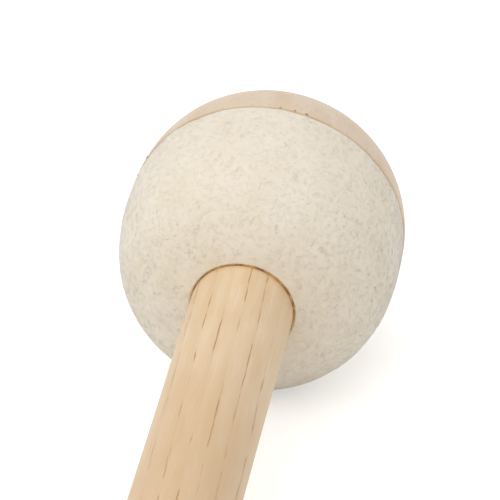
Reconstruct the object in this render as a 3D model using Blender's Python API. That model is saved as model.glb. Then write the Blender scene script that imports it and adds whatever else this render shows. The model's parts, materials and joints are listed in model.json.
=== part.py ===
"""Bass drum mallet: an ash handle wedged into a round head with a fleece cover and a turned wooden cap.

Every piece is turned about its own local Z, the mallet's axis, with the handle's butt at height 0 and the
cap's crown at the top. One empty then lays the whole mallet on its side, as it lies on a table: the head and
the butt touch the ground (z = 0), and the axis runs along +Y and rises a little towards the head.
"""
from math import atan2, cos, pi, radians, sin, sqrt

import bmesh
import bpy
from mathutils import Vector

# The whole mallet, in metres
OVERALL_LENGTH = 0.368
FIT_GAP = 0.0003              # between any two pieces that touch

# The handle
HANDLE_DIAMETER = 0.0222
BUTT_ROUNDING = 0.005
TENON_DIAMETER = 0.016
TENON_CHAMFER = 0.0008
KERF_MOUTH = 0.0030           # the wedge has forced the saw cut open to this width
KERF_ROOT = 0.0014
KERF_DEPTH = 0.015
WEDGE_TIP_GAP = 0.0015        # left below the wedge in the saw cut
WEDGE_SIDE_GAP = 0.0012       # the wedge is this much narrower than the tenon, on each side

# The head's outline is two superellipses that meet at the equator, its widest circle
HEAD_DIAMETER = 0.062
NECK_DEPTH = 0.030            # from the equator to where the near outline would close on the axis
NECK_SQUARENESS = 2.95
CROWN_DEPTH = 0.030           # from the equator to where the far outline would close on the axis
CROWN_SQUARENESS = 2.45

# The cap
CAP_JOINT_HEIGHT = 0.0045     # from the equator up to the cap's visible rim
CAP_BASE_DROP = 0.0015        # from the equator down to the cap's base, where its rebate ends
CAP_INSET = 0.0004            # the fleece stands this much proud of the cap
CAP_RIM_CHAMFER = 0.0005
CROWN_FLAT_DIAMETER = 0.012
SOCKET_DEPTH = 0.007          # of the recess in the cap that takes the core's end

# The core and its dowels
CORE_CHAMFER = 0.001
DOWEL_HOLE_WALL = 0.0016      # the core's wood on each side of a dowel hole
DOWEL_LENGTH = 0.014
DOWEL_CHAMFER = 0.0005
DOWEL_COUNT = 3

# The felt
FELT_RING_COUNT = 3
FELT_LEAST_WALL = 0.0009      # of the nearest ring, where the dome trims it thinnest round the core
NECK_RING_THICKNESS = 0.003
NECK_RING_RIM = 0.0015        # the neck ring's wall where it is thinnest, round the handle
JACKET_THICKNESS = 0.003

# The fleece, its binding and the glue at the neck
FLEECE_THICKNESS = 0.0045
FLEECE_SKIN = 0.0010          # the leather or knitted side, which the thread lies on
MOUTH_BEVEL = 0.0013          # of the hole's edge, where the glue sits
GLUE_BEAD_DIAMETER = 0.0007
THREAD_DIAMETER = 0.0008
THREAD_SPACING = 0.0001       # between two turns
THREAD_TURNS = 3

# How finely the round shapes are cut; all are multiples of four
HEAD_SEGMENTS = 64
FELT_SEGMENTS = 40
HANDLE_SEGMENTS = 48
DOWEL_SEGMENTS = 16
BEAD_SEGMENTS = 48
THREAD_POINTS_PER_TURN = 36
DOME_STEPS = 14               # along an outline that shows
HIDDEN_DOME_STEPS = 8         # along an outline inside the head
FELT_RING_STEPS = 2
ROUNDING_STEPS = 6
SHARP_EDGE_ANGLE = radians(35)
MERGE_DISTANCE = 1e-6         # closes a spun shape on itself
CUTTER_OVERRUN = 0.001

# Radii that several pieces share
HEAD_RADIUS = HEAD_DIAMETER / 2
HANDLE_RADIUS = HANDLE_DIAMETER / 2
TENON_RADIUS = TENON_DIAMETER / 2
NECK_HOLE_RADIUS = HANDLE_RADIUS + FIT_GAP
CAP_RADIUS = HEAD_RADIUS - CAP_INSET
FLEECE_INNER_RADIUS = HEAD_RADIUS - FLEECE_THICKNESS
JACKET_OUTER_RADIUS = FLEECE_INNER_RADIUS - FIT_GAP
JACKET_INNER_RADIUS = JACKET_OUTER_RADIUS - JACKET_THICKNESS
FELT_OUTER_RADIUS = JACKET_INNER_RADIUS - FIT_GAP
REBATE_RADIUS = FLEECE_INNER_RADIUS - FIT_GAP


def dome_radius(height, radius, depth, squareness):
    """The radius of a superellipse dome at a height above its equator."""
    return radius * (1 - (height / depth) ** squareness) ** (1 / squareness)


def dome_height(at_radius, radius, depth, squareness):
    """The height of a superellipse dome above its equator, at a radius."""
    return depth * (1 - (at_radius / radius) ** squareness) ** (1 / squareness)


def dome_points(radius, depth, squareness, low, high, steps):
    """Points (radius, height) on a dome from height low to height high, evenly turned along its curve."""
    power = 2 / squareness
    first = atan2((low / depth) ** (1 / power), (1 - (low / depth) ** squareness) ** 0.5)
    last = atan2((high / depth) ** (1 / power), (1 - (high / depth) ** squareness) ** 0.5)
    points = []
    for step in range(steps + 1):
        turn = first + (last - first) * step / steps
        points.append((radius * cos(turn) ** power, depth * sin(turn) ** power))
    return points


# Heights along the mallet's axis, from the butt
CROWN_FLAT_RADIUS = CROWN_FLAT_DIAMETER / 2
EQUATOR = OVERALL_LENGTH - dome_height(CROWN_FLAT_RADIUS, CAP_RADIUS, CROWN_DEPTH, CROWN_SQUARENESS)
CAP_JOINT = EQUATOR + CAP_JOINT_HEIGHT
CAP_BASE = EQUATOR - CAP_BASE_DROP
SOCKET_FLOOR = CAP_BASE + SOCKET_DEPTH
CORE_TOP = SOCKET_FLOOR - FIT_GAP
TENON_END = CORE_TOP
FLEECE_EDGE = CAP_JOINT - FIT_GAP

# The felt under the jacket fills the near dome: first the neck ring, then the rings round the core
FELT_DEPTH = NECK_DEPTH - (HEAD_RADIUS - FELT_OUTER_RADIUS)
NECK_RING_RADIUS = NECK_HOLE_RADIUS + NECK_RING_RIM
NECK_RING_BOTTOM = EQUATOR - dome_height(NECK_RING_RADIUS, FELT_OUTER_RADIUS, FELT_DEPTH, NECK_SQUARENESS)
NECK_RING_TOP = NECK_RING_BOTTOM + NECK_RING_THICKNESS
CORE_BOTTOM = NECK_RING_TOP + FIT_GAP
SHOULDER = CORE_BOTTOM - FIT_GAP
FELT_RING_PITCH = (CAP_BASE - CORE_BOTTOM) / FELT_RING_COUNT

# The core is as thick as the nearest felt ring leaves room for, and the dowels sit midway in its wall
CORE_END_RADIUS = dome_radius(EQUATOR - CORE_BOTTOM, FELT_OUTER_RADIUS, FELT_DEPTH, NECK_SQUARENESS)
CORE_RADIUS = CORE_END_RADIUS - FELT_LEAST_WALL - FIT_GAP
CORE_BORE_RADIUS = TENON_RADIUS + FIT_GAP
DOWEL_CIRCLE_RADIUS = (CORE_BORE_RADIUS + CORE_RADIUS) / 2
DOWEL_HOLE_RADIUS = (CORE_RADIUS - CORE_BORE_RADIUS) / 2 - DOWEL_HOLE_WALL
DOWEL_RADIUS = DOWEL_HOLE_RADIUS - FIT_GAP

# The fleece's hole is bevelled from its bore to the mouth
MOUTH_RADIUS = NECK_HOLE_RADIUS + MOUTH_BEVEL
MOUTH = EQUATOR - dome_height(MOUTH_RADIUS, HEAD_RADIUS, NECK_DEPTH, NECK_SQUARENESS)


def plain_finish(name, colour, roughness):
    """A Principled material in one colour, given as linear red, green and blue."""
    material = bpy.data.materials.new(name)
    material.use_nodes = True
    shader = material.node_tree.nodes["Principled BSDF"]
    shader.inputs["Base Color"].default_value = (*colour, 1)
    shader.inputs["Roughness"].default_value = roughness
    shader.inputs["Metallic"].default_value = 0
    material.diffuse_color = (*colour, 1)
    return material


def add_object(name, mesh, material):
    """Put a mesh into the scene under its node's name, shaded smooth between its sharp edges."""
    mesh.materials.append(material)
    mesh.shade_smooth()
    mesh.set_sharp_from_angle(angle=SHARP_EDGE_ANGLE)
    piece = bpy.data.objects.new(name, mesh)
    bpy.context.collection.objects.link(piece)
    return piece


def turned_mesh(name, outline, segments, closed):
    """Spin an outline of (radius, height) points about Z.

    A closed outline makes a ring; an open one starts and ends on the axis. The first copy is turned by
    half a step, so that a flat facet and not a corner faces each of the four sides.
    """
    half_step = pi / segments
    bm = bmesh.new()
    points = [bm.verts.new((r * cos(half_step), r * sin(half_step), height)) for r, height in outline]
    for first, second in zip(points, points[1:]):
        bm.edges.new((first, second))
    if closed:
        bm.edges.new((points[-1], points[0]))
    bmesh.ops.spin(bm, geom=bm.verts[:] + bm.edges[:], cent=(0, 0, 0), axis=(0, 0, 1), angle=2 * pi,
                   steps=segments, use_merge=True)
    bmesh.ops.remove_doubles(bm, verts=bm.verts, dist=MERGE_DISTANCE)
    bmesh.ops.recalc_face_normals(bm, faces=bm.faces)
    mesh = bpy.data.meshes.new(name)
    bm.to_mesh(mesh)
    bm.free()
    return mesh


def turned_piece(name, outline, segments, material, closed=False):
    return add_object(name, turned_mesh(name, outline, segments, closed), material)


def hide_cutter(cutter):
    cutter.hide_render = True
    cutter.display_type = "WIRE"


def cut_with(piece, cutter):
    """Take the cutter's shape out of the piece."""
    modifier = piece.modifiers.new("cut", "BOOLEAN")
    modifier.operation = "DIFFERENCE"
    modifier.solver = "EXACT"
    modifier.object = cutter


def tapered_slab(name, low, high, low_thickness, high_thickness, width, material):
    """A flat slab across the axis whose thickness changes from its low end to its high end."""
    bm = bmesh.new()
    rings = []
    for height, thickness in ((low, low_thickness), (high, high_thickness)):
        corners = [(-width / 2, -thickness / 2), (width / 2, -thickness / 2),
                   (width / 2, thickness / 2), (-width / 2, thickness / 2)]
        rings.append([bm.verts.new((x, y, height)) for x, y in corners])
    bm.faces.new(rings[0])
    bm.faces.new(rings[1])
    for side in range(4):
        following = (side + 1) % 4
        bm.faces.new((rings[0][side], rings[0][following], rings[1][following], rings[1][side]))
    bmesh.ops.recalc_face_normals(bm, faces=bm.faces)
    mesh = bpy.data.meshes.new(name)
    bm.to_mesh(mesh)
    bm.free()
    return add_object(name, mesh, material)


def kerf_thickness(depth):
    """The opened saw cut's width at a depth below the tenon's end."""
    return KERF_MOUTH + (KERF_ROOT - KERF_MOUTH) * depth / KERF_DEPTH


def make_handle(wood):
    """One stick with a rounded butt, a shoulder and a tenon that is sawn for its wedge."""
    outline = [(0, 0)]
    for step in range(ROUNDING_STEPS + 1):
        turn = pi / 2 * step / ROUNDING_STEPS
        radius = HANDLE_RADIUS - BUTT_ROUNDING * (1 - sin(turn))
        outline.append((radius, BUTT_ROUNDING * (1 - cos(turn))))
    outline += [
        (HANDLE_RADIUS, SHOULDER),
        (TENON_RADIUS, SHOULDER),
        (TENON_RADIUS, TENON_END - TENON_CHAMFER),
        (TENON_RADIUS - TENON_CHAMFER, TENON_END),
        (0, TENON_END),
    ]
    handle = turned_piece("handle", outline, HANDLE_SEGMENTS, wood)
    kerf = tapered_slab("kerf_cutter", TENON_END - KERF_DEPTH, TENON_END + CUTTER_OVERRUN,
                        kerf_thickness(KERF_DEPTH), kerf_thickness(-CUTTER_OVERRUN), HANDLE_DIAMETER, wood)
    hide_cutter(kerf)
    cut_with(handle, kerf)
    return [handle, kerf]


def make_tenon_wedge(wood):
    """The wedge fills the saw cut from the tenon's end down, and tapers with it."""
    length = KERF_DEPTH - WEDGE_TIP_GAP
    slack = 2 * FIT_GAP
    return tapered_slab("tenon_wedge", TENON_END - length, TENON_END, kerf_thickness(length) - slack,
                        kerf_thickness(0) - slack, TENON_DIAMETER - 2 * WEDGE_SIDE_GAP, wood)


def make_dowel_hole_cutter(wood):
    """The blind holes for the dowels, which cross the joint between the core and the cap."""
    hole_length = DOWEL_LENGTH + 2 * FIT_GAP
    bm = bmesh.new()
    for number in range(DOWEL_COUNT):
        made = bmesh.ops.create_cone(bm, cap_ends=True, segments=DOWEL_SEGMENTS, radius1=DOWEL_HOLE_RADIUS,
                                     radius2=DOWEL_HOLE_RADIUS, depth=hole_length)
        bmesh.ops.translate(bm, verts=made["verts"], vec=dowel_place(number))
    mesh = bpy.data.meshes.new("dowel_hole_cutter")
    bm.to_mesh(mesh)
    bm.free()
    cutter = add_object("dowel_hole_cutter", mesh, wood)
    hide_cutter(cutter)
    return cutter


def dowel_place(number):
    """The middle of a dowel, on its circle and at the joint between the core and the cap."""
    turn = 2 * pi * number / DOWEL_COUNT
    middle = (CORE_TOP + SOCKET_FLOOR) / 2
    return Vector((DOWEL_CIRCLE_RADIUS * cos(turn), DOWEL_CIRCLE_RADIUS * sin(turn), middle))


def make_cap_dowels(wood):
    """Three straight pegs, half in the core and half in the cap."""
    half = DOWEL_LENGTH / 2
    outline = [
        (0, -half),
        (DOWEL_RADIUS - DOWEL_CHAMFER, -half),
        (DOWEL_RADIUS, -half + DOWEL_CHAMFER),
        (DOWEL_RADIUS, half - DOWEL_CHAMFER),
        (DOWEL_RADIUS - DOWEL_CHAMFER, half),
        (0, half),
    ]
    dowels = []
    for number in range(DOWEL_COUNT):
        dowel = turned_piece(f"cap_dowel_{number + 1}", outline, DOWEL_SEGMENTS, wood)
        dowel.location = dowel_place(number)
        dowels.append(dowel)
    return dowels


def make_head_core(wood, holes):
    """A bored cylinder: its far end sits in the cap's socket."""
    outline = [
        (CORE_BORE_RADIUS, CORE_BOTTOM),
        (CORE_RADIUS - CORE_CHAMFER, CORE_BOTTOM),
        (CORE_RADIUS, CORE_BOTTOM + CORE_CHAMFER),
        (CORE_RADIUS, CORE_TOP - CORE_CHAMFER),
        (CORE_RADIUS - CORE_CHAMFER, CORE_TOP),
        (CORE_BORE_RADIUS, CORE_TOP),
    ]
    core = turned_piece("head_core", outline, FELT_SEGMENTS, wood, closed=True)
    cut_with(core, holes)
    return core


def make_cap(wood, holes):
    """The turned end of the head: a flat-topped dome with a rebate for the fleece and a socket for the core."""
    rim = CAP_JOINT + CAP_RIM_CHAMFER
    rim_radius = dome_radius(rim - EQUATOR, CAP_RADIUS, CROWN_DEPTH, CROWN_SQUARENESS)
    crown = OVERALL_LENGTH - EQUATOR
    dome = dome_points(CAP_RADIUS, CROWN_DEPTH, CROWN_SQUARENESS, rim - EQUATOR, crown, DOME_STEPS)
    socket_radius = CORE_RADIUS + FIT_GAP
    outline = [
        (0, SOCKET_FLOOR),
        (socket_radius, SOCKET_FLOOR),
        (socket_radius, CAP_BASE),
        (REBATE_RADIUS, CAP_BASE),
        (REBATE_RADIUS, CAP_JOINT),
        (rim_radius - CAP_RIM_CHAMFER, CAP_JOINT),
    ]
    outline += [(radius, EQUATOR + height) for radius, height in dome]
    outline.append((0, OVERALL_LENGTH))
    cap = turned_piece("cap", outline, HEAD_SEGMENTS, wood)
    cut_with(cap, holes)
    return cap


def felt_ring_outline(low, high, bore):
    """A ring between two heights, with its outer side trimmed to the dome that fits the jacket."""
    outline = [(bore, high), (bore, low)]
    for step in range(FELT_RING_STEPS + 1):
        height = low + (high - low) * step / FELT_RING_STEPS
        radius = dome_radius(EQUATOR - height, FELT_OUTER_RADIUS, FELT_DEPTH, NECK_SQUARENESS)
        outline.append((radius, height))
    return outline


def make_felt_rings(felt):
    """Hard felt rings from the core's near end up to the cap's base."""
    rings = []
    bore = CORE_RADIUS + FIT_GAP
    for number in range(FELT_RING_COUNT):
        low = CORE_BOTTOM + number * FELT_RING_PITCH
        outline = felt_ring_outline(low, low + FELT_RING_PITCH - FIT_GAP, bore)
        rings.append(turned_piece(f"felt_ring_{number + 1}", outline, FELT_SEGMENTS, felt, closed=True))
    return rings


def make_neck_ring(felt):
    """A felt ring round the handle, skived to a dome, between the core and the jacket's near end."""
    outline = felt_ring_outline(NECK_RING_BOTTOM, NECK_RING_TOP, NECK_HOLE_RADIUS)
    return turned_piece("neck_ring", outline, FELT_SEGMENTS, felt, closed=True)


def neck_shell(radius, low, bore, steps):
    """Points along a near dome that is smaller than the head all round, from below the equator to a bore."""
    depth = NECK_DEPTH - (HEAD_RADIUS - radius)
    high = dome_height(bore, radius, depth, NECK_SQUARENESS)
    points = dome_points(radius, depth, NECK_SQUARENESS, low, high, steps)
    return [(point_radius, EQUATOR - height) for point_radius, height in points]


def make_felt_jacket(felt):
    """A dome of softer felt over the rings, from the handle to the cap's base."""
    edge = EQUATOR - CAP_BASE + FIT_GAP
    outside = neck_shell(JACKET_OUTER_RADIUS, edge, NECK_HOLE_RADIUS, HIDDEN_DOME_STEPS)
    inside = neck_shell(JACKET_INNER_RADIUS, edge, NECK_HOLE_RADIUS, HIDDEN_DOME_STEPS)
    return turned_piece("felt_jacket", outside + inside[::-1], FELT_SEGMENTS, felt, closed=True)


def thread_pitch():
    return THREAD_DIAMETER + THREAD_SPACING


def binding_notch():
    """The slot in the fleece's edge where the thread lies on the skin: inner and outer radius, and floor."""
    inner = FLEECE_INNER_RADIUS + FLEECE_SKIN
    outer = inner + THREAD_DIAMETER + 2 * FIT_GAP
    floor = FLEECE_EDGE - THREAD_TURNS * thread_pitch() - THREAD_DIAMETER - FIT_GAP
    return inner, outer, floor


def make_fleece_cover(fleece):
    """The fleece from its hole round the handle to its edge against the cap's rim."""
    outside = neck_shell(HEAD_RADIUS, 0, MOUTH_RADIUS, DOME_STEPS)[::-1]
    edge_radius = dome_radius(FLEECE_EDGE - EQUATOR, HEAD_RADIUS, CROWN_DEPTH, CROWN_SQUARENESS)
    notch_inner, notch_outer, notch_floor = binding_notch()
    outline = [(NECK_HOLE_RADIUS, MOUTH + MOUTH_BEVEL)]
    outline += outside
    outline += [
        (edge_radius, FLEECE_EDGE),
        (notch_outer, FLEECE_EDGE),
        (notch_outer, notch_floor),
        (notch_inner, notch_floor),
        (notch_inner, FLEECE_EDGE),
        (FLEECE_INNER_RADIUS, FLEECE_EDGE),
    ]
    outline += neck_shell(FLEECE_INNER_RADIUS, 0, NECK_HOLE_RADIUS, HIDDEN_DOME_STEPS)
    return turned_piece("fleece_cover", outline, HEAD_SEGMENTS, fleece, closed=True)


def make_rim_binding(thread):
    """The waxed thread, wound in even turns on the fleece's skin in the rebate."""
    notch_inner, notch_outer, notch_floor = binding_notch()
    coil_radius = (notch_inner + notch_outer) / 2
    start = notch_floor + FIT_GAP + THREAD_DIAMETER / 2
    count = THREAD_TURNS * THREAD_POINTS_PER_TURN
    curve = bpy.data.curves.new("rim_binding", "CURVE")
    curve.dimensions = "3D"
    curve.bevel_depth = THREAD_DIAMETER / 2
    curve.bevel_resolution = 1
    curve.use_fill_caps = True
    spline = curve.splines.new("POLY")
    spline.points.add(count)
    for number, point in enumerate(spline.points):
        turn = 2 * pi * number / THREAD_POINTS_PER_TURN
        rise = thread_pitch() * number / THREAD_POINTS_PER_TURN
        point.co = (coil_radius * cos(turn), coil_radius * sin(turn), start + rise, 1)
    curve.materials.append(thread)
    binding = bpy.data.objects.new("rim_binding", curve)
    bpy.context.collection.objects.link(binding)
    return binding


def make_neck_glue_bead(glue):
    """A thin ring of set glue between the handle and the bevelled mouth of the fleece's hole."""
    half = GLUE_BEAD_DIAMETER / 2
    centre_radius = NECK_HOLE_RADIUS + half
    centre_height = MOUTH + MOUTH_RADIUS - centre_radius - sqrt(2) * (half + FIT_GAP)
    outline = []
    for step in range(ROUNDING_STEPS):
        turn = 2 * pi * step / ROUNDING_STEPS
        outline.append((centre_radius + half * cos(turn), centre_height + half * sin(turn)))
    return turned_piece("neck_glue_bead", outline, BEAD_SEGMENTS, glue, closed=True)


def lie_angle():
    """How much the axis rises from the butt to the head when both rest on the ground.

    The ground line touches the butt where its rounding ends, and the near side of the head. A facet
    faces down, so each circle reaches as far as the middle of its facet.
    """
    butt_reach = HANDLE_RADIUS * cos(pi / HANDLE_SEGMENTS)
    angles = []
    for radius, height in neck_shell(HEAD_RADIUS, 0, MOUTH_RADIUS, DOME_STEPS):
        reach = radius * cos(pi / HEAD_SEGMENTS)
        angles.append(atan2(reach - butt_reach, height - BUTT_ROUNDING))
    return max(angles)


def lay_on_ground(pieces):
    """Hang the pieces on one empty, lay it along +Y and set the origin at the middle of the underside."""
    axis = bpy.data.objects.new("mallet_axis", None)
    bpy.context.collection.objects.link(axis)
    for piece in pieces:
        piece.parent = axis
    axis.rotation_euler.x = lie_angle() - pi / 2
    bpy.context.view_layer.update()
    corners = []
    for piece in pieces:
        if piece.display_type != "WIRE":
            corners += [piece.matrix_world @ vertex.co for vertex in piece.to_mesh().vertices]
    lowest = Vector(min(corner[side] for corner in corners) for side in range(3))
    highest = Vector(max(corner[side] for corner in corners) for side in range(3))
    middle = (lowest + highest) / 2
    axis.location = (-middle.x, -middle.y, -lowest.z)


def build():
    for old in list(bpy.data.objects):
        bpy.data.objects.remove(old)
    ash = plain_finish("ash", (0.72, 0.53, 0.34), 0.50)
    maple = plain_finish("maple", (0.66, 0.52, 0.40), 0.55)
    beech = plain_finish("beech", (0.58, 0.38, 0.23), 0.60)
    hard_felt = plain_finish("hard_felt", (0.62, 0.58, 0.50), 0.95)
    soft_felt = plain_finish("soft_felt", (0.74, 0.71, 0.64), 0.95)
    fleece = plain_finish("wool_fleece", (0.80, 0.76, 0.66), 0.95)
    waxed_thread = plain_finish("waxed_thread", (0.66, 0.60, 0.48), 0.45)
    amber_glue = plain_finish("amber_glue", (0.45, 0.22, 0.05), 0.30)
    holes = make_dowel_hole_cutter(beech)
    pieces = make_handle(ash)
    pieces += [make_tenon_wedge(beech), holes, make_head_core(beech, holes), make_cap(maple, holes)]
    pieces += make_cap_dowels(beech)
    pieces += make_felt_rings(hard_felt)
    pieces += [make_neck_ring(hard_felt), make_felt_jacket(soft_felt), make_fleece_cover(fleece)]
    pieces += [make_rim_binding(waxed_thread), make_neck_glue_bead(amber_glue)]
    lay_on_ground(pieces)


build()
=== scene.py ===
"""The looks of the bass drum mallet: ash handle, fleece over felt, a turned maple cap and amber glue.

Every turned piece is made about its own local Z, the mallet's axis, with the butt at height 0. LYING then
puts it where the frame has it. Lengths are in metres; MM turns millimetres into them.
"""
import json
from math import atan2, cos, pi, radians, sin

import bmesh
import bpy
import numpy as np
from mathutils import Matrix, Vector, noise


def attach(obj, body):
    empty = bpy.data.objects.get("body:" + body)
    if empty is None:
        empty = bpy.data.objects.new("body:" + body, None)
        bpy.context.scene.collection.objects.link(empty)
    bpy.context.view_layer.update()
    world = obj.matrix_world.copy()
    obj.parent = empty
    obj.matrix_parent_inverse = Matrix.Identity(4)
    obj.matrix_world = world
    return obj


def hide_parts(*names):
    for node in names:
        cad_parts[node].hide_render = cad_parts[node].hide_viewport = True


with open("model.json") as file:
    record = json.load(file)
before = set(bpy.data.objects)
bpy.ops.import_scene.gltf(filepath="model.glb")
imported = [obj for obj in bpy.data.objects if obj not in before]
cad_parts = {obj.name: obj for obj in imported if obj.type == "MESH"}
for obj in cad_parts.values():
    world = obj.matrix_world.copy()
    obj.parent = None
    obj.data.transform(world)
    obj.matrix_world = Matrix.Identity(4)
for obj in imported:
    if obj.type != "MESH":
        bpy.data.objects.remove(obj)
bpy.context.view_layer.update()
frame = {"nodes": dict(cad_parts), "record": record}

MM = 0.001
FIT_GAP = 0.3 * MM

# The mallet's axis, from the frame's two end faces
MOUNTS = {mount["name"]: Vector(mount["pos_m"]) for mount in frame["record"]["mounts"]}
BUTT = MOUNTS["butt_face"]
AXIS = (MOUNTS["crown_face"] - BUTT).normalized()
SIDE = Vector((1, 0, 0))
LYING = Matrix.Translation(BUTT) @ Matrix((SIDE, AXIS.cross(SIDE), AXIS)).transposed().to_4x4()


def turned_size(node):
    """A node's largest radius about the axis, and its lowest and highest point along it."""
    to_axis = LYING.inverted()
    places = [to_axis @ vertex.co for vertex in frame["nodes"][node].data.vertices]
    heights = [place.z for place in places]
    return max(place.xy.length for place in places), min(heights), max(heights)


# Sizes of the frame's own solids
HANDLE_RADIUS, _, TENON_END = turned_size("handle")
HEAD_RADIUS, MOUTH, FLEECE_EDGE = turned_size("fleece_cover")
CORE_RADIUS, CORE_BOTTOM, CORE_TOP = turned_size("head_core")
_, CAP_BASE, LENGTH = turned_size("cap")
CAP_JOINT = FLEECE_EDGE + FIT_GAP
NECK_HOLE_RADIUS = HANDLE_RADIUS + FIT_GAP

# Sizes that the solids were turned to
BUTT_ROUNDING = 5 * MM
TENON_RADIUS = 8 * MM
TENON_CHAMFER = 0.8 * MM
CROWN_FLAT_RADIUS = 6 * MM
FLEECE_THICKNESS = 4.5 * MM
CAP_JOINT_ABOVE_EQUATOR = 4.5 * MM
EQUATOR = CAP_JOINT - CAP_JOINT_ABOVE_EQUATOR
NECK_DEPTH = 30 * MM
NECK_SQUARENESS = 2.95          # 2 is round, and more is squarer
CROWN_DEPTH = 30 * MM
CROWN_SQUARENESS = 2.45

# Where the scene's own cap and fleece differ from the solids
CAP_INSET = 0.1 * MM            # of the cap's dome inside the fleece's outline; the solid's is 0.4 mm
CAP_RIM_ROUNDING = 0.35 * MM    # the solid has a 0.5 mm chamfer there
MOUTH_LIP = 0.3 * MM            # from the hole in the fleece to where its dome starts
EDGE_THINNING = 0.25 * MM       # the fleece thins towards its edge, so the step down to the cap is slight
EDGE_FOLD = 0.35 * MM           # how far in from its edge the fleece's skin is highest
EDGE_FOLD_HEIGHT = 0.28 * MM
RAGGED_FROM = 0.6               # the cut strays from this share of the way between the equator and the edge
BROAD_LUMPS = 0.12 * MM
SMALL_TUFTS = 0.06 * MM

# How finely the shapes are cut
HEAD_SEGMENTS = 288
HANDLE_SEGMENTS = 160
HANDLE_ROW = 4 * MM
GLUE_SEGMENTS = 240
GLUE_CORNERS = 12
DOME_STEPS = 96
EDGE_STEPS = 12
HIDDEN_STEPS = 16
ROUNDING_STEPS = 10
MERGE_DISTANCE = 1e-7

# The wool pile
PILE_PIECES = 6
STRANDS_PER_PIECE = 7500
STRAND_LENGTH = (0.9 * MM, 2.0 * MM)
STRAND_LIFT = (1, 5)            # degrees that a strand rises off the mat
STRAND_CURL = 0.5               # how far its tip may turn to either side, as a share of its length
STRAND_RADIUS = 0.020 * MM      # one or two wool fibres, since a strand thinner than that is too fine to show
STRAND_THICKNESS = (0.7, 1.3)   # the thinnest and the thickest strand, as shares of that radius
ROOT_DEPTH = 0.04 * MM          # of a strand's root in the mat
PILE_ROOM = 0.15 * MM           # the mat lies this far inside the fleece's outline, and the pile fills it
EDGE_OVERHANG = 0.30 * MM       # how far strands reach past the cut edge, over the cap
PILE_SEED = 7
STRAND_CORNERS = 3
# Each ring of corners: how far along the strand it lies, and how thick the strand is there
STRAND_RINGS = ((0.0, 0.9), (0.4, 1.0), (0.75, 0.75))
STRAND_POINTS = STRAND_CORNERS * len(STRAND_RINGS) + 1     # with the tip

# The specks of glue at the cap's joint
SPECK_ANGLES = (-84, -78, -73, -150, 20, 120, 200)
SPECK_RADIUS = (0.14 * MM, 0.26 * MM)
SPECK_STRETCH = (0.6, 1.7, 0.8)
SPECK_SEED = 3

# How a Map Range node eases from its low end to its high end
SMOOTH = {"interpolation_type": "SMOOTHSTEP"}


def to_linear(code):
    """An sRGB hex colour as linear red, green, blue and alpha."""
    parts = [int(code[start:start + 2], 16) / 255 for start in (0, 2, 4)]
    return [part / 12.92 if part <= 0.04045 else ((part + 0.055) / 1.055) ** 2.4 for part in parts] + [1]


def add_node(tree, kind, inputs, **settings):
    """Add a shader node and give its outputs. Each input is a value, or a socket that is linked to it."""
    made = tree.nodes.new("ShaderNode" + kind)
    for name, value in settings.items():
        setattr(made, name, value)
    for name, value in inputs.items():
        if isinstance(value, bpy.types.NodeSocket):
            tree.links.new(value, made.inputs[name])
        else:
            made.inputs[name].default_value = value
    return made.outputs


def start_material(name, **sockets):
    """A Principled material, its tree and its shader, with even values set on the shader's own sockets."""
    material = bpy.data.materials.new(name)
    material.use_nodes = True
    tree = material.node_tree
    shader = tree.nodes["Principled BSDF"]
    for socket, value in sockets.items():
        shader.inputs[socket.replace("_", " ")].default_value = value
    return material, tree, shader


def stretched_place(tree, across, along, tilt=0.0):
    """The place on a piece, in units of one size across the grain and one along it, and then tilted."""
    place = add_node(tree, "TexCoord", {})["Object"]
    scale = (1 / across, 1 / across, 1 / along)
    return add_node(tree, "Mapping", {"Vector": place, "Rotation": (0, tilt, 0), "Scale": scale})["Vector"]


def mottle(tree, across, along, tilt=0.0, **softness):
    """Soft noise with features of one size across the grain and one along it."""
    place = stretched_place(tree, across, along, tilt)
    return add_node(tree, "TexNoise", {"Vector": place, "Scale": 1.0, **softness})["Fac"]


def layered(tree, first, layers):
    """A hex colour with others laid over it, each as strongly as its own pattern from 0 to 1 says."""
    colour = to_linear(first)
    for strength, code in layers:
        colour = add_node(tree, "Mix", {0: strength, 6: colour, 7: to_linear(code)}, data_type="RGBA")[2]
    return colour


def dress(tree, shader, colour, relief, depth):
    """Give a shader its colour and a relief: a pattern where 1 stands up by a depth and -1 sinks by it."""
    tree.links.new(colour, shader.inputs["Base Color"])
    bump = add_node(tree, "Bump", {"Strength": 1.0, "Distance": depth, "Height": relief})
    tree.links.new(bump["Normal"], shader.inputs["Normal"])


def growth_rings(tree, tilt):
    """The place within a growth ring, from 0 at its spring side to 1, about a pith beside the stick."""
    ring_width = 3.6 * MM
    pith = (-60 * MM, -16 * MM, 0)
    wander = mottle(tree, 16.67 * MM, 71.43 * MM, Detail=2)
    wander = add_node(tree, "Math", {0: wander, 1: 2.2 * MM}, operation="MULTIPLY")[0]
    place = stretched_place(tree, 1, 1, tilt)
    from_pith = add_node(tree, "VectorMath", {0: place, 1: pith}, operation="SUBTRACT")[0]
    level = add_node(tree, "VectorMath", {0: from_pith, 1: (1, 1, 0)}, operation="MULTIPLY")[0]
    distance = add_node(tree, "VectorMath", {0: level}, operation="LENGTH")["Value"]
    distance = add_node(tree, "Math", {0: distance, 1: wander}, operation="ADD")[0]
    rings = add_node(tree, "Math", {0: distance, 1: ring_width}, operation="DIVIDE")[0]
    return add_node(tree, "Math", {0: rings}, operation="FRACT")[0]


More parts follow.
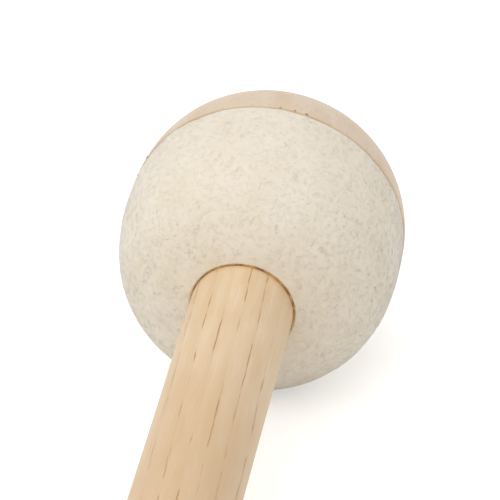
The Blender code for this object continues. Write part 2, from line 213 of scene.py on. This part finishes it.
def open_pores(tree, tilt, spring):
    """Lines of open vessels, about 0.3 mm wide and 8 mm long, that come and go along the spring wood."""
    rows = mottle(tree, 0.303 * MM, 8.333 * MM, tilt, Detail=1, Roughness=0.6)
    rows = add_node(tree, "MapRange", {"Value": rows, "From Min": 0.50, "From Max": 0.60}, **SMOOTH)[0]
    gaps = mottle(tree, 5 * MM, 11.11 * MM, tilt, Detail=2)
    gaps = add_node(tree, "MapRange", {"Value": gaps, "From Min": 0.42, "From Max": 0.56}, **SMOOTH)[0]
    rows = add_node(tree, "Math", {0: rows, 1: spring}, operation="MULTIPLY")[0]
    return add_node(tree, "Math", {0: rows, 1: gaps}, operation="MULTIPLY")[0]


def neck_stain(tree, height):
    """Glue that soaked into the wood: strongest in the fleece's hole, and gone about 2 mm outside it."""
    soaked = mottle(tree, 2.857 * MM, 2.857 * MM, Detail=3)
    soaked = add_node(tree, "Math", {0: soaked, 1: 2.4 * MM}, operation="MULTIPLY")[0]
    reached = add_node(tree, "Math", {0: height, 1: soaked}, operation="ADD")[0]
    return add_node(tree, "MapRange", {
        "Value": reached, "From Min": MOUTH - 0.6 * MM, "From Max": MOUTH + 1.8 * MM, "To Max": 0.45,
    }, **SMOOTH)[0]


def sanded_ash():
    """Bare ash, ring porous: peach-cream wood with rows of open brown pores at each ring's spring side, and
    painted shade that darkens it away from the head.
    """
    material, tree, shader = start_material("sanded_ash", Roughness=0.5)
    tilt = radians(1.6)
    ring = growth_rings(tree, tilt)
    begins = add_node(tree, "MapRange", {"Value": ring, "From Max": 0.03}, **SMOOTH)[0]
    ends = add_node(tree, "MapRange", {
        "Value": ring, "From Min": 0.06, "From Max": 0.11, "To Min": 1, "To Max": 0}, **SMOOTH)[0]
    spring = add_node(tree, "Math", {0: begins, 1: ends}, operation="MULTIPLY")[0]
    spring_tint = add_node(tree, "Math", {0: spring, 1: 0.18}, operation="MULTIPLY")[0]
    late_wood = add_node(tree, "MapRange", {"Value": ring, "From Min": 0.45, "To Max": 0.35}, **SMOOTH)[0]
    patches = mottle(tree, 3.846 * MM, 16.67 * MM, tilt, Detail=3)
    patches = add_node(tree, "MapRange", {"Value": patches, "From Min": 0.3, "From Max": 0.7}, **SMOOTH)[0]
    grain = mottle(tree, 0.2778 * MM, 9.091 * MM, tilt, Detail=2)
    streaks = add_node(tree, "MapRange", {
        "Value": grain, "From Min": 0.35, "From Max": 0.75, "To Max": 0.30}, **SMOOTH)[0]
    pores = open_pores(tree, tilt, spring)
    pore_tint = add_node(tree, "Math", {0: pores, 1: 0.7}, operation="MULTIPLY")[0]
    place = add_node(tree, "TexCoord", {})["Object"]
    height = add_node(tree, "SeparateXYZ", {0: place})["Z"]
    # Painted shade: away from the head the wood is painted a little darker, for the light that falls off
    # along the handle towards the butt
    painted_falloff_shade = add_node(tree, "MapRange", {
        "Value": height, "From Min": MOUTH - 70 * MM, "From Max": MOUTH - 10 * MM,
        "To Min": 0.45, "To Max": 0,
    }, **SMOOTH)[0]
    colour = layered(tree, "e8cfae", [
        (patches, "dfc29b"),
        (late_wood, "dcbf98"),
        (streaks, "d4b48c"),
        (spring_tint, "cf9f6c"),
        (pore_tint, "b9762f"),
        (neck_stain(tree, height), "d8ae62"),
        # c9a67c is painted shade: the wood darker away from the head, where the light falls off
        (painted_falloff_shade, "c9a67c"),
    ])
    raised_grain = add_node(tree, "Math", {0: grain, 1: 0.15}, operation="MULTIPLY")[0]
    relief = add_node(tree, "Math", {0: raised_grain, 1: pores}, operation="SUBTRACT")[0]
    dress(tree, shader, colour, relief, 0.12 * MM)
    return material


def sanded_maple():
    """Fine-sanded maple, diffuse porous: an even, pinkish-tan wood with faint flecks and soft bands."""
    material, tree, shader = start_material("sanded_maple", Roughness=0.48)
    bands = mottle(tree, 5.882 * MM, 33.33 * MM, Detail=3, Distortion=0.4)
    bands = add_node(tree, "MapRange", {"Value": bands, "From Min": 0.32, "From Max": 0.68}, **SMOOTH)[0]
    clouds = mottle(tree, 22.22 * MM, 22.22 * MM, Detail=2)
    clouds = add_node(tree, "MapRange", {
        "Value": clouds, "From Min": 0.4, "From Max": 0.7, "To Max": 0.4}, **SMOOTH)[0]
    flecks = mottle(tree, 0.4545 * MM, 2 * MM, Detail=2)
    fleck_tint = add_node(tree, "MapRange", {
        "Value": flecks, "From Min": 0.58, "From Max": 0.72, "To Max": 0.45}, **SMOOTH)[0]
    colour = layered(tree, "dccab4", [(bands, "d5bea4"), (clouds, "dcc0a0"), (fleck_tint, "c4a17c")])
    dress(tree, shader, colour, flecks, 0.02 * MM)
    return material


def turned_beech():
    """Beech as it left the tool: pinkish brown, with short dark ray flecks."""
    material, tree, shader = start_material("turned_beech", Roughness=0.6)
    bands = mottle(tree, 2 * MM, 16.7 * MM, Detail=3)
    flecks = mottle(tree, 0.667 * MM, 2.857 * MM, Detail=2)
    fleck_tint = add_node(tree, "MapRange", {
        "Value": flecks, "From Min": 0.58, "From Max": 0.7, "To Max": 0.6}, **SMOOTH)[0]
    colour = layered(tree, "d3ab84", [(bands, "bd8f66"), (fleck_tint, "8f6140")])
    dress(tree, shader, colour, flecks, 0.03 * MM)
    return material


def pressed_felt(name, light, dark, clump):
    """Pressed wool felt: matted fibres with no direction, in clumps of two close shades."""
    material, tree, shader = start_material(name, Roughness=0.95, Sheen_Weight=0.3, Sheen_Roughness=0.6)
    clumps = mottle(tree, clump, clump, Detail=4)
    fibres = mottle(tree, 0.25 * MM, 0.25 * MM, Detail=3, Distortion=1.5)
    dress(tree, shader, layered(tree, light, [(clumps, dark)]), fibres, 0.15 * MM)
    return material


def waxed_linen():
    """Waxed linen thread: plies that wind round it, and a dull shine."""
    material, tree, shader = start_material("waxed_linen", Roughness=0.42, Specular_IOR_Level=0.4)
    ply_spacing = 1.21 * MM
    bands_per_unit = 10 * 3 ** 0.5 / (2 * pi)      # of the wave pattern, across its slanting bands
    plies = add_node(tree, "TexWave", {
        "Vector": stretched_place(tree, 1, 1), "Scale": 1 / (bands_per_unit * ply_spacing), "Distortion": 1.0,
    }, wave_type="BANDS", bands_direction="DIAGONAL")["Fac"]
    dress(tree, shader, layered(tree, "b39c72", [(plies, "d8c79f")]), plies, 0.08 * MM)
    return material


def shorn_wool(name, light, dark):
    """Short-shorn cream fleece: warm white, soft at its edges, with faint darker clouds."""
    material, tree, shader = start_material(
        name, Roughness=0.9, Sheen_Weight=0.3, Sheen_Roughness=0.5, Specular_IOR_Level=0.1)
    clouds = mottle(tree, 9.091 * MM, 9.091 * MM, Detail=4, Roughness=0.55)
    clouds = add_node(tree, "MapRange", {"Value": clouds, "From Min": 0.3, "From Max": 0.7}, **SMOOTH)[0]
    each_strand = add_node(tree, "NewGeometry", {})["Random Per Island"]
    each_strand = add_node(tree, "Math", {0: each_strand, 1: 0.3}, operation="MULTIPLY")[0]
    fibres = mottle(tree, MM / 3, MM / 3, Detail=3, Distortion=2.0)
    colour = layered(tree, light, [(clouds, dark), (each_strand, "efe6d6")])
    dress(tree, shader, colour, fibres, 0.01 * MM)
    return material


def amber_glue():
    """Set hide glue: dark amber where it is thick, honey where it is thin, with a wet shine."""
    material, tree, shader = start_material("amber_glue", Roughness=0.25, IOR=1.5, Coat_Weight=0.3)
    depth = mottle(tree, 2 * MM, 2 * MM, Detail=3)
    depth = add_node(tree, "MapRange", {"Value": depth, "From Min": 0.35, "From Max": 0.65}, **SMOOTH)[0]
    tree.links.new(layered(tree, "93601f", [(depth, "cf9f58")]), shader.inputs["Base Color"])
    return material


def dome_height(at_radius, radius, depth, squareness):
    """The height of a superellipse dome above its equator, at a radius."""
    return depth * (1 - (at_radius / radius) ** squareness) ** (1 / squareness)


def dome_radius(height, radius, depth, squareness):
    """The radius of a superellipse dome at a height above its equator."""
    return radius * (1 - (height / depth) ** squareness) ** (1 / squareness)


def dome_points(radius, depth, squareness, low, high, steps):
    """Points (radius, height) on a dome from height low to height high."""
    power = 2 / squareness
    first = atan2((low / depth) ** (1 / power), (1 - (low / depth) ** squareness) ** 0.5)
    last = atan2((high / depth) ** (1 / power), (1 - (high / depth) ** squareness) ** 0.5)
    points = []
    for step in range(steps + 1):
        turn = first + (last - first) * step / steps
        points.append((radius * cos(turn) ** power, depth * sin(turn) ** power))
    return points


def turned_mesh(name, outline, segments, closed=False):
    """Spin an outline of (radius, height) points about Z."""
    bm = bmesh.new()
    points = [bm.verts.new((radius, 0, height)) for radius, height in outline]
    for first, second in zip(points, points[1:]):
        bm.edges.new((first, second))
    if closed:
        bm.edges.new((points[-1], points[0]))
    bmesh.ops.spin(bm, geom=bm.verts[:] + bm.edges[:], cent=(0, 0, 0), axis=(0, 0, 1), angle=2 * pi,
                   steps=segments, use_merge=True)
    bmesh.ops.remove_doubles(bm, verts=bm.verts, dist=MERGE_DISTANCE)
    bmesh.ops.recalc_face_normals(bm, faces=bm.faces)
    mesh = bpy.data.meshes.new(name)
    bm.to_mesh(mesh)
    bm.free()
    return mesh


def push_out(mesh, amount):
    """Move each point along its normal by amount(point), in metres."""
    places = [(vertex, vertex.co + vertex.normal * amount(vertex.co)) for vertex in mesh.vertices]
    for vertex, place in places:
        vertex.co = place


def place_piece(name, mesh, material, nodes=(), sharp=radians(40)):
    """Put a mesh on the mallet's axis, riding with the frame, in the place of the nodes it stands for."""
    mesh.materials.append(material)
    mesh.shade_smooth()
    mesh.set_sharp_from_angle(angle=sharp)
    piece = bpy.data.objects.new(name, mesh)
    bpy.context.collection.objects.link(piece)
    piece.matrix_world = LYING
    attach(piece, "root")
    if nodes:
        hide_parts(*nodes)
    return piece


def rows_between(low, high, step):
    """Evenly spaced heights from low to high, about a step apart."""
    count = max(1, round((high - low) / step))
    return [low + (high - low) * number / count for number in range(count + 1)]


def hand_sanding(place):
    """How far hand sanding left the handle from true, in slow waves along it."""
    return 0.05 * MM * noise.noise(Vector((place.x * 60, place.y * 60, place.z * 25)))


def make_handle():
    """The stick, with its rounded butt, shoulder and tenon. The head hides the saw cut, which is left out."""
    outline = [(0, 0)]
    for step in range(ROUNDING_STEPS + 1):
        turn = pi / 2 * step / ROUNDING_STEPS
        outline.append((HANDLE_RADIUS - BUTT_ROUNDING * (1 - sin(turn)), BUTT_ROUNDING * (1 - cos(turn))))
    shoulder = CORE_BOTTOM - FIT_GAP
    outline += [(HANDLE_RADIUS, height) for height in rows_between(BUTT_ROUNDING, shoulder, HANDLE_ROW)[1:]]
    outline += [
        (TENON_RADIUS, shoulder),
        (TENON_RADIUS, TENON_END - TENON_CHAMFER),
        (TENON_RADIUS - TENON_CHAMFER, TENON_END),
        (0, TENON_END),
    ]
    mesh = turned_mesh("handle_wood", outline, HANDLE_SEGMENTS)
    push_out(mesh, hand_sanding)
    return place_piece("handle_wood", mesh, sanded_ash(), ["handle"])


def make_cap():
    """The cap, with its socket, its rebate and a rim whose edge is just broken, but no dowel holes."""
    rim = CAP_JOINT + CAP_RIM_ROUNDING
    radius = HEAD_RADIUS - CAP_INSET
    rim_radius = dome_radius(rim - EQUATOR, radius, CROWN_DEPTH, CROWN_SQUARENESS)
    socket_radius = CORE_RADIUS + FIT_GAP
    rebate_radius = HEAD_RADIUS - FLEECE_THICKNESS - FIT_GAP
    outline = [
        (0, CORE_TOP + FIT_GAP),
        (socket_radius, CORE_TOP + FIT_GAP),
        (socket_radius, CAP_BASE),
        (rebate_radius, CAP_BASE),
        (rebate_radius, CAP_JOINT),
        (rim_radius - CAP_RIM_ROUNDING, CAP_JOINT),
        (rim_radius - 0.3 * CAP_RIM_ROUNDING, CAP_JOINT + 0.3 * CAP_RIM_ROUNDING),
    ]
    low, high = rim - EQUATOR, LENGTH - EQUATOR
    dome = dome_points(radius, CROWN_DEPTH, CROWN_SQUARENESS, low, high, DOME_STEPS // 2)
    outline += [(at, EQUATOR + height) for at, height in dome]
    outline += [(CROWN_FLAT_RADIUS * share, LENGTH) for share in (0.66, 0.33, 0)]
    mesh = turned_mesh("cap_wood", outline, HEAD_SEGMENTS)
    return place_piece("cap_wood", mesh, sanded_maple(), ["cap"])


def fleece_outside():
    """The fleece's outer outline from the hole's lip over the near dome and up to its cut edge."""
    lip_radius = NECK_HOLE_RADIUS + MOUTH_LIP
    radius = HEAD_RADIUS - PILE_ROOM
    depth = NECK_DEPTH - PILE_ROOM
    lip_height = dome_height(lip_radius, radius, depth, NECK_SQUARENESS)
    dome = dome_points(radius, depth, NECK_SQUARENESS, 0, lip_height, DOME_STEPS)
    points = [(at, EQUATOR - height) for at, height in dome[::-1]]
    rise = FLEECE_EDGE - EQUATOR
    for step in range(1, EDGE_STEPS + 1):
        height = rise * step / EDGE_STEPS
        thinned = radius - EDGE_THINNING * (step / EDGE_STEPS) ** 2
        points.append((dome_radius(height, thinned, CROWN_DEPTH, CROWN_SQUARENESS), EQUATOR + height))
    return points


def soft_lumps(place):
    """The pile's own unevenness: broad soft lumps with smaller tufts on them, none on the hidden side."""
    outer_shell = place.xy.length > HEAD_RADIUS - FLEECE_THICKNESS + 0.5 * MM
    near_mouth = place.z < MOUTH + 4 * MM
    if not (outer_shell or near_mouth):
        return 0.0
    return BROAD_LUMPS * noise.noise(place * 160) + SMALL_TUFTS * noise.noise(place * 520)


def hand_cut(place):
    """How far the fleece's cut edge strays along the axis at a place round the rim."""
    around = Vector((place.x, place.y, 0)) * 90
    finer = Vector((place.x, place.y, 3)) * 420
    return 0.28 * MM * noise.noise(around) + 0.16 * MM * noise.noise(finer)


def make_fleece():
    """The fleece's mat: a closed shell from the hole round the handle to its hand-cut edge at the cap.

    The slot for the binding thread is left out, so the thread lies inside the mat, out of sight.
    """
    outside = fleece_outside()
    inner_radius = HEAD_RADIUS - FLEECE_THICKNESS
    inner_depth = NECK_DEPTH - FLEECE_THICKNESS
    hole = dome_height(NECK_HOLE_RADIUS, inner_radius, inner_depth, NECK_SQUARENESS)
    inside = dome_points(inner_radius, inner_depth, NECK_SQUARENESS, 0, hole, HIDDEN_STEPS)
    edge_radius = outside[-1][0]
    # In the hole, the skin hugs the handle
    outline = [
        (NECK_HOLE_RADIUS - 0.2 * MM, MOUTH + 0.9 * MM),
        (NECK_HOLE_RADIUS - 0.15 * MM, MOUTH + 0.3 * MM),
    ]
    outline += outside
    outline += [(edge_radius - EDGE_FOLD, FLEECE_EDGE + EDGE_FOLD_HEIGHT), (inner_radius, FLEECE_EDGE)]
    outline += [(radius, EQUATOR - height) for radius, height in inside]
    mesh = turned_mesh("fleece_mat", outline, HEAD_SEGMENTS, closed=True)
    push_out(mesh, soft_lumps)
    for vertex in mesh.vertices:
        share = (vertex.co.z - EQUATOR) / (FLEECE_EDGE - EQUATOR)
        if share > RAGGED_FROM and vertex.co.xy.length > inner_radius + MM:
            vertex.co.z += hand_cut(vertex.co) * min(1, (share - RAGGED_FROM) / (1 - RAGGED_FROM))
    wool = shorn_wool("shorn_wool_mat", "efe5d4", "eadfca")
    mat = place_piece("fleece_mat", mesh, wool, ["fleece_cover"])
    return outside


def strand_frames(outside, count, draw):
    """Roots, normals and two tangents for strands spread evenly over the outer outline, turned about Z."""
    points = np.array(outside)
    steps = np.diff(points, axis=0)
    lengths = np.linalg.norm(steps, axis=1)
    areas = lengths * (points[:-1, 0] + points[1:, 0])
    chosen = draw.choice(len(areas), size=count, p=areas / areas.sum())
    share = draw.random(count)[:, None]
    at = points[chosen] + steps[chosen] * share
    along = steps[chosen] / lengths[chosen][:, None]
    turn = draw.random(count) * 2 * pi
    around = np.stack([np.cos(turn), np.sin(turn), np.zeros(count)], axis=1)
    up = np.array([0, 0, 1.0])
    roots = around * at[:, :1] + up * at[:, 1:]
    normals = around * along[:, 1:] - up * along[:, :1]
    meridian = around * along[:, :1] + up * along[:, 1:]
    ring = np.cross(normals, meridian)
    return roots, normals, meridian, ring


def keep_clear(centres, radius):
    """Push strands that would enter the handle or the ground back to where they touch it."""
    away = np.linalg.norm(centres[:, :2], axis=1)[:, None]
    centres[:, :2] *= np.maximum(1, (HANDLE_RADIUS + radius) / away)
    up = np.array(LYING.to_3x3().inverted() @ Vector((0, 0, 1)))
    heights = centres @ up + BUTT.z
    centres += np.maximum(0, radius[:, 0] - heights)[:, None] * up


def strand_faces(count):
    """The faces of so many strands: two bands of three sides each, a three-sided tip and a root."""
    sides = []
    for low in (0, STRAND_CORNERS):
        for corner in range(STRAND_CORNERS):
            following = (corner + 1) % STRAND_CORNERS
            sides.append((low + corner, low + 3 + corner, low + 3 + following, low + following))
    ends = [(7, 6, 9), (8, 7, 9), (6, 8, 9), (0, 1, 2)]
    starts = (np.arange(count) * STRAND_POINTS)[:, None, None]
    quads = (np.array(sides)[None] + starts).reshape(-1, 4)
    triangles = (np.array(ends)[None] + starts).reshape(-1, 3)
    return quads.tolist() + triangles.tolist()


def make_pile(number, outside, wool):
    """One share of the pile: closed, tapered, curled strands of wool that lie close to the mat."""
    draw = np.random.default_rng(PILE_SEED + number)
    count = STRANDS_PER_PIECE
    roots, normals, meridian, ring = strand_frames(outside, count, draw)
    lie = draw.random(count) * 2 * pi
    heading = meridian * np.cos(lie)[:, None] + ring * np.sin(lie)[:, None]
    sideways = np.cross(normals, heading)
    roots += normals * np.array([soft_lumps(Vector(root)) for root in roots.tolist()])[:, None]
    length = draw.uniform(*STRAND_LENGTH, count)[:, None]
    room = FLEECE_EDGE + EDGE_OVERHANG - roots[:, 2:]
    reach = np.maximum(heading[:, 2:] * length, 1e-9)
    length *= np.clip(room / reach, 0.1, 1)
    lift = np.tan(np.radians(draw.uniform(*STRAND_LIFT, count)))[:, None]
    curl = draw.uniform(-STRAND_CURL, STRAND_CURL, count)[:, None]
    radius = STRAND_RADIUS * draw.uniform(*STRAND_THICKNESS, count)[:, None]

    def middle_at(share):
        """The middle of each strand at a share of its length, as it bends over and curls to one side."""
        forward = heading * length * share * (1 - 0.12 * share)
        upward = normals * length * lift * share * (1 - 0.55 * share)
        middle = roots - normals * ROOT_DEPTH + forward + upward + sideways * length * curl * share ** 2
        keep_clear(middle, radius)
        return middle

    corners = []
    for share, width in STRAND_RINGS:
        middle = middle_at(share)
        for corner in range(STRAND_CORNERS):
            angle = 2 * pi * corner / STRAND_CORNERS
            corners.append(middle + radius * width * (normals * cos(angle) + sideways * sin(angle)))
    points = np.stack(corners + [middle_at(1)], axis=1).reshape(-1, 3)
    mesh = bpy.data.meshes.new(f"fleece_pile_{number}")
    mesh.from_pydata(points.tolist(), [], strand_faces(count))
    piece = place_piece(f"fleece_pile_{number}", mesh, wool, sharp=pi)
    # The strands are lit as the fleece under them is, so the pile looks soft and not like grit
    mesh.normals_split_custom_set_from_vertices(np.repeat(normals, STRAND_POINTS, axis=0).tolist())
    return piece


def glue_thickness(place):
    """How much thicker the bead is at a place: most on the side where it was laid on last."""
    thick_side = radians(-35)
    nearness = (1 + cos(atan2(place.y, place.x) - thick_side)) / 2
    return MM * (0.2 * nearness ** 5 + 0.08 * noise.noise(place * 900) - 0.03)


def make_neck_glue(glue):
    """The glue line round the handle, where it goes into the fleece."""
    bead_radius = 0.16 * MM
    middle = (HANDLE_RADIUS + bead_radius, MOUTH + 0.2 * MM)
    outline = []
    for step in range(GLUE_CORNERS):
        turn = 2 * pi * step / GLUE_CORNERS
        outline.append((middle[0] + bead_radius * cos(turn), middle[1] + bead_radius * sin(turn)))
    mesh = turned_mesh("neck_glue", outline, GLUE_SEGMENTS, closed=True)
    push_out(mesh, glue_thickness)
    return place_piece("neck_glue", mesh, glue, ["neck_glue_bead"], sharp=pi)


def make_rim_glue_spots(glue):
    """A few specks of glue that were squeezed out between the fleece's edge and the cap."""
    bm = bmesh.new()
    draw = np.random.default_rng(SPECK_SEED)
    rim_radius = dome_radius(CAP_JOINT - EQUATOR, HEAD_RADIUS - CAP_INSET, CROWN_DEPTH, CROWN_SQUARENESS)
    for angle in SPECK_ANGLES:
        turn = radians(angle)
        size = draw.uniform(*SPECK_RADIUS)
        place = Vector((rim_radius * cos(turn), rim_radius * sin(turn), CAP_JOINT + 0.15 * MM))
        stretch = Matrix.Rotation(turn, 4, "Z") @ Matrix.Diagonal((*SPECK_STRETCH, 1))
        made = bmesh.ops.create_icosphere(bm, subdivisions=2, radius=size,
                                          matrix=Matrix.Translation(place) @ stretch)
        for vertex in made["verts"]:
            vertex.co += Vector((0, 0, 0.3 * size * noise.noise(vertex.co * 3000)))
    mesh = bpy.data.meshes.new("rim_glue_spots")
    bm.to_mesh(mesh)
    bm.free()
    return place_piece("rim_glue_spots", mesh, glue, sharp=pi)


def finish_inner_nodes():
    """The pieces inside the head keep the frame's shapes and get their own finishes."""
    beech = turned_beech()
    hard_felt = pressed_felt("hard_pressed_felt", "cfc8b8", "b3aa97", 1.2 * MM)
    soft_felt = pressed_felt("soft_pressed_felt", "e2dccd", "cbc3b0", 2.5 * MM)
    finishes = {
        "tenon_wedge": beech,
        "head_core": beech,
        "neck_ring": hard_felt,
        "felt_jacket": soft_felt,
        "rim_binding": waxed_linen(),
    }
    for number in (1, 2, 3):
        finishes[f"cap_dowel_{number}"] = beech
        finishes[f"felt_ring_{number}"] = hard_felt
    for node, material in finishes.items():
        for material_slot in frame["nodes"][node].material_slots:
            material_slot.material = material


# The camera: where the photograph was taken from, worked out from the head's outline in it
PHOTO_SIZE = 500
FOCAL_PIXELS = 3820
SENSOR_WIDTH = 36
HEAD_PIXEL = (263.6, 236.6)      # where the middle of the equator shows
HEAD_DEPTH = 0.8425              # how far in front of the camera it is
CAMERA_AZIMUTH = radians(9.3)
CAMERA_ELEVATION = radians(29.4)

# The studio
FLOOR_RADIUS = 8
FLOOR_DROP = 0.2 * MM            # keeps the floor from cutting into what lies on it
FLOOR_GLOW = 0.42                # what the pale floor lacks to show white
AMBIENT = 0.66                   # strength of the light from all round
LAMP_DIAMETER = 2.4
LAMP_POWER = 17                  # watts
LAMP_PLACE = (-0.5, 1.15, 1.2)   # from the head: to the right, up and towards the camera, in the picture


def make_camera():
    """A long lens that sees the head as the photograph does. Gives the picture's right, up and back."""
    back = Vector((sin(CAMERA_AZIMUTH) * cos(CAMERA_ELEVATION), -cos(CAMERA_AZIMUTH) * cos(CAMERA_ELEVATION),
                   sin(CAMERA_ELEVATION)))
    turned = back.to_track_quat("Z", "Y")
    right = turned @ Vector((1, 0, 0))
    up = turned @ Vector((0, 1, 0))
    across = (HEAD_PIXEL[0] - PHOTO_SIZE / 2) / FOCAL_PIXELS * HEAD_DEPTH
    above = (PHOTO_SIZE / 2 - HEAD_PIXEL[1]) / FOCAL_PIXELS * HEAD_DEPTH
    data = bpy.data.cameras.new("photo_camera")
    data.sensor_width = SENSOR_WIDTH
    data.lens = FOCAL_PIXELS / PHOTO_SIZE * SENSOR_WIDTH
    camera = bpy.data.objects.new("photo_camera", data)
    bpy.context.collection.objects.link(camera)
    camera.rotation_mode = "QUATERNION"
    camera.rotation_quaternion = turned
    camera.location = LYING @ Vector((0, 0, EQUATOR)) - right * across - up * above + back * HEAD_DEPTH
    bpy.context.scene.camera = camera
    return right, up, back


def seen_directly(tree):
    """1 for a ray from the camera, also by way of a mirror or glass, and 0 for light on the object."""
    path = add_node(tree, "LightPath", {})
    shiny = {0: path["Is Glossy Ray"], 1: path["Is Transmission Ray"]}
    shiny = add_node(tree, "Math", shiny, operation="MAXIMUM")[0]
    return add_node(tree, "Math", {0: path["Is Camera Ray"], 1: shiny}, operation="MAXIMUM")[0]


def make_floor():
    """A wide sheet of pale matt paper that shows white and keeps the mallet's soft shadow."""
    bm = bmesh.new()
    bmesh.ops.create_circle(bm, cap_ends=True, segments=96, radius=FLOOR_RADIUS)
    mesh = bpy.data.meshes.new("studio_floor")
    bm.to_mesh(mesh)
    bm.free()
    material, tree, shader = start_material(
        "white_paper_floor", Roughness=1.0, Specular_IOR_Level=0.0, Base_Color=to_linear("f4f4f3"),
        Emission_Color=(1, 1, 1, 1))
    glow = add_node(tree, "Math", {0: seen_directly(tree), 1: FLOOR_GLOW}, operation="MULTIPLY")[0]
    tree.links.new(glow, shader.inputs["Emission Strength"])
    mesh.materials.append(material)
    floor = bpy.data.objects.new("studio_floor", mesh)
    bpy.context.collection.objects.link(floor)
    floor.location.z = -FLOOR_DROP


def make_lights(right, up, back):
    """Even daylight from all round, which the camera sees as white, and one large soft lamp."""
    world = bpy.data.worlds.new("pale_studio")
    bpy.context.scene.world = world
    world.use_nodes = True
    tree = world.node_tree
    extra = add_node(tree, "Math", {0: seen_directly(tree), 1: 1 - AMBIENT}, operation="MULTIPLY")[0]
    strength = add_node(tree, "Math", {0: extra, 1: AMBIENT}, operation="ADD")[0]
    background = tree.nodes["Background"]
    tree.links.new(strength, background.inputs["Strength"])
    background.inputs["Color"].default_value = (1, 1, 1, 1)
    head = LYING @ Vector((0, 0, EQUATOR))
    lamp = bpy.data.lights.new("soft_key", "AREA")
    lamp.shape = "DISK"
    lamp.size = LAMP_DIAMETER
    lamp.energy = LAMP_POWER
    key = bpy.data.objects.new("soft_key", lamp)
    bpy.context.collection.objects.link(key)
    key.location = head + right * LAMP_PLACE[0] + up * LAMP_PLACE[1] + back * LAMP_PLACE[2]
    key.rotation_mode = "QUATERNION"
    key.rotation_quaternion = (key.location - head).to_track_quat("Z", "Y")


make_handle()
make_cap()
fleece_line = make_fleece()
pile_wool = shorn_wool("shorn_wool_pile", "f4ede2", "f0e6d6")
for pile_number in range(1, PILE_PIECES + 1):
    make_pile(pile_number, fleece_line, pile_wool)
make_neck_glue(amber_glue())
# Not the neck's glue: the specks have the plain amber that the frame gave the glue bead
make_rim_glue_spots(bpy.data.materials["amber_glue"])
finish_inner_nodes()
make_floor()
make_lights(*make_camera())
bpy.context.scene.view_settings.view_transform = "Standard"
